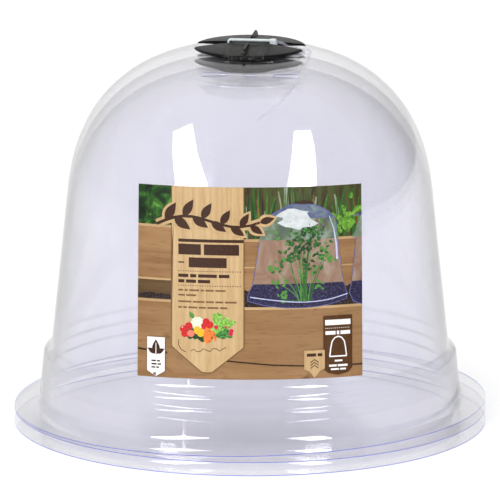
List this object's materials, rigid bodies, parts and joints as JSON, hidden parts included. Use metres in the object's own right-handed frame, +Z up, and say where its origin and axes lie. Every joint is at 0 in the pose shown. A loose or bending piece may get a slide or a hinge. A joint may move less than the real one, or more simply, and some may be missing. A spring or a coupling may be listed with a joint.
{
  "type": "glass cloche",
  "caption": "Nested pack of clear plastic bell cloches with wide flanges, turning black top vents, a cable tie and a printed card on the front.",
  "frame": {"origin": "centre of the underside of the lowest flange, on the common axis of the cloches", "axes": "+Z up along the common axis, -Y towards the printed card, +X to the right as the card is faced"},
  "size_m": [0.25, 0.25, 0.2061],
  "materials": {
    "clear_sheet": "clear glossy vacuum-formed sheet with a faint violet tint, deeper at the cut edges",
    "black_moulding": "satin black moulding, spark-textured on the hub",
    "natural_nylon": "milky translucent nylon with a row of fine ratchet teeth",
    "printed_card": null
  },
  "bodies": {
    "inner_cloche": {"inner_shell": "clear_sheet"},
    "middle_cloche": {"middle_shell": "clear_sheet"},
    "middle_vent": {"middle_vent_cap": "black_moulding", "middle_vent_washer": "black_moulding"},
    "outer_cloche": {"outer_shell": "clear_sheet", "printed_card": "printed_card"},
    "outer_vent": {"outer_vent_cap": "black_moulding", "outer_vent_washer": "black_moulding", "cable_tie": "natural_nylon"}
  },
  "joints": [
    {"name": "middle_lift", "type": "slide", "parent": "inner_cloche", "child": "middle_cloche", "axis": [0, 0, 1], "range_m": [0, 0.2]},
    {"name": "outer_lift", "type": "slide", "parent": "middle_cloche", "child": "outer_cloche", "axis": [0, 0, 1], "range_m": [0, 0.2]},
    {"name": "middle_vent_turn", "type": "hinge", "parent": "middle_cloche", "child": "middle_vent", "pos_m": [0, 0, 0.19332], "axis": [0, 0, 1], "continuous": true},
    {"name": "outer_vent_turn", "type": "hinge", "parent": "outer_cloche", "child": "outer_vent", "pos_m": [0, 0, 0.19999], "axis": [0, 0, 1], "continuous": true}
  ]
}
